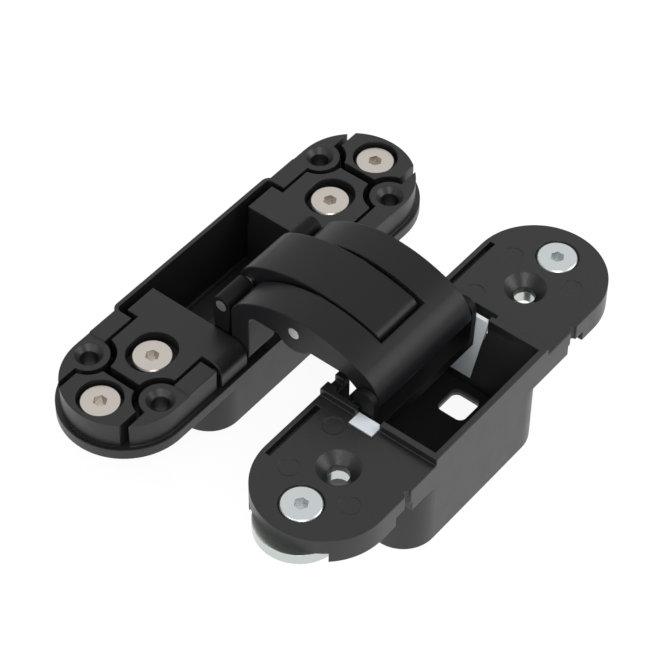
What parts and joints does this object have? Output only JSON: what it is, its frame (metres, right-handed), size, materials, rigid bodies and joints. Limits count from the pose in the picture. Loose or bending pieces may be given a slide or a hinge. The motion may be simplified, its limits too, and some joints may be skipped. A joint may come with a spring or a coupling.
{
  "type": "concealed hinge",
  "caption": "Adjustable concealed hinge shown open flat: a cast jamb body and a moulded door body with cups, joined by crossed arms that fold away into the cups.",
  "frame": {"origin": "centre of the hinge's outline, on the plane of the two cup bottoms", "axes": "+X from the jamb body to the door body, +Y along the bodies, +Z from the cup bottoms up to the arms"},
  "size_m": [0.0898, 0.1184, 0.0403],
  "materials": {
    "black_casting": "satin",
    "black_arm": "satin",
    "black_moulding": "matte",
    "nickel_screw": "satin",
    "zinc_screw": "satin",
    "zinc_plate": "satin",
    "white_nylon": "satin",
    "steel_pin": "satin",
    "dark_spacer": "matte"
  },
  "bodies": {
    "jamb_side": {"jamb_housing": "black_casting", "near_end_block": "black_casting", "far_end_block": "black_casting", "end_block_screws": "nickel_screw", "carrier_screws": "nickel_screw"},
    "carrier": {"adjusting_carrier": "black_casting", "jamb_arm_pin": "steel_pin"},
    "outer_arm_set": {"outer_arm": "black_arm", "centre_pin": "steel_pin"},
    "inner_arm_set": {"inner_arm": "black_arm", "centre_spacers": "dark_spacer"},
    "jamb_link_set": {"jamb_link": "black_arm", "jamb_link_pin": "steel_pin", "jamb_foot_pin": "steel_pin"},
    "door_link_set": {"door_link": "black_arm", "door_link_pin": "steel_pin", "door_foot_pin": "steel_pin"},
    "door_side": {"door_housing": "black_moulding", "near_anchor_plate": "zinc_plate", "far_anchor_plate": "zinc_plate", "anchor_screws": "zinc_screw", "door_arm_pin": "steel_pin", "near_bearing_liner": "white_nylon", "far_bearing_liner": "white_nylon"}
  },
  "joints": [
    {"name": "height_adjust", "type": "slide", "parent": "jamb_side", "child": "carrier", "axis": [0, 1, 0], "range_m": [-0.001, 0.001]},
    {"name": "outer_arm_pivot", "type": "hinge", "parent": "carrier", "child": "outer_arm_set", "pos_m": [-0.0149, 0, 0.0187], "axis": [0, -1, 0], "range_deg": [0, 103.5]},
    {"name": "inner_arm_pivot", "type": "hinge", "parent": "outer_arm_set", "child": "inner_arm_set", "pos_m": [0.001, 0, 0.0354], "axis": [0, 1, 0], "range_deg": [0, 27.1]},
    {"name": "jamb_link_pivot", "type": "hinge", "parent": "inner_arm_set", "child": "jamb_link_set", "pos_m": [-0.0208, 0, 0.0295], "axis": [0, -1, 0], "range_deg": [0, 20.3]},
    {"name": "door_link_pivot", "type": "hinge", "parent": "outer_arm_set", "child": "door_link_set", "pos_m": [0.0228, 0, 0.0295], "axis": [0, 1, 0], "range_deg": [0, 20.3]},
    {"name": "door_arm_pivot", "type": "hinge", "parent": "inner_arm_set", "child": "door_side", "pos_m": [0.0169, 0, 0.0187], "axis": [0, -1, 0], "range_deg": [0, 103.6]}
  ],
  "couplings": [
    {"joint": "inner_arm_pivot", "follows": "outer_arm_pivot", "ratio": 0.26087},
    {"joint": "jamb_link_pivot", "follows": "outer_arm_pivot", "ratio": 0.19517},
    {"joint": "door_link_pivot", "follows": "outer_arm_pivot", "ratio": 0.19517},
    {"joint": "door_arm_pivot", "follows": "outer_arm_pivot", "ratio": 1}
  ]
}
